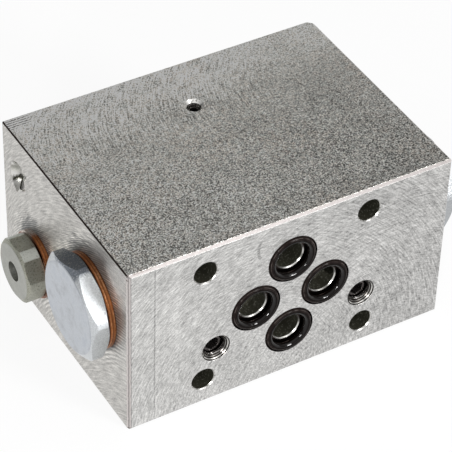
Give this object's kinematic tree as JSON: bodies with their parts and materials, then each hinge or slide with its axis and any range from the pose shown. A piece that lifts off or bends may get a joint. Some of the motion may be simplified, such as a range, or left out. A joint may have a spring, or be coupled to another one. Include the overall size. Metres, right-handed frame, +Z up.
{
  "type": "hydraulic sandwich valve",
  "caption": "Steel stacking block with a diamond of ports, end plugs on copper washers, and inside it a double pilot-operated check valve and a relief spool.",
  "frame": {"origin": "centre of the port pattern on the port face, the face with the O-rings", "axes": "+X along the port face towards the end with one plug, +Y into the block along the stacking direction, +Z up with the block on its long bottom face"},
  "size_m": [0.0923, 0.0589, 0.0446],
  "materials": {
    "milled_steel": "bare milled steel with cutter marks",
    "ground_steel": "hardened and ground",
    "raw_steel": "bare turned steel, matte",
    "zinc_plate": "bright zinc plate",
    "copper": "soft annealed copper",
    "spring_steel": "bright spring wire",
    "black_steel": "blackened, oily",
    "seal_rubber": "black and wet with oil"
  },
  "bodies": {
    "block": {"valve_body": "milled_steel", "relief_plug": "raw_steel", "relief_washer": "copper", "relief_spring": "spring_steel", "top_screw": "black_steel", "side_screw": "black_steel", "port_oring_top": "seal_rubber", "port_oring_bottom": "seal_rubber", "port_oring_left": "seal_rubber", "port_oring_right": "seal_rubber", "end_plug_left": "zinc_plate", "plug_washer_left": "copper", "seat_bush_left": "ground_steel", "check_spring_left": "spring_steel", "control_screw_left": "black_steel", "end_plug_right": "zinc_plate", "plug_washer_right": "copper", "seat_bush_right": "ground_steel", "check_spring_right": "spring_steel", "control_screw_right": "black_steel"},
    "pilot": {"pilot_piston": "ground_steel"},
    "left_check": {"check_poppet_left": "ground_steel"},
    "right_check": {"check_poppet_right": "ground_steel"},
    "relief": {"relief_spool": "ground_steel"}
  },
  "joints": [
    {"name": "left_check_lift", "type": "slide", "parent": "block", "child": "left_check", "axis": [-1, 0, 0], "range_m": [0, 0.003], "stiffness_N_per_m": 900, "springref_m": -0.004, "deforming": ["check_spring_left"]},
    {"name": "right_check_lift", "type": "slide", "parent": "block", "child": "right_check", "axis": [1, 0, 0], "range_m": [0, 0.003], "stiffness_N_per_m": 900, "springref_m": -0.004, "deforming": ["check_spring_right"]},
    {"name": "pilot_travel", "type": "slide", "parent": "block", "child": "pilot", "axis": [1, 0, 0], "range_m": [-0.0015, 0.0015]},
    {"name": "relief_lift", "type": "slide", "parent": "block", "child": "relief", "axis": [-1, 0, 0], "range_m": [0, 0.003], "stiffness_N_per_m": 6000, "springref_m": -0.004, "deforming": ["relief_spring"]}
  ]
}
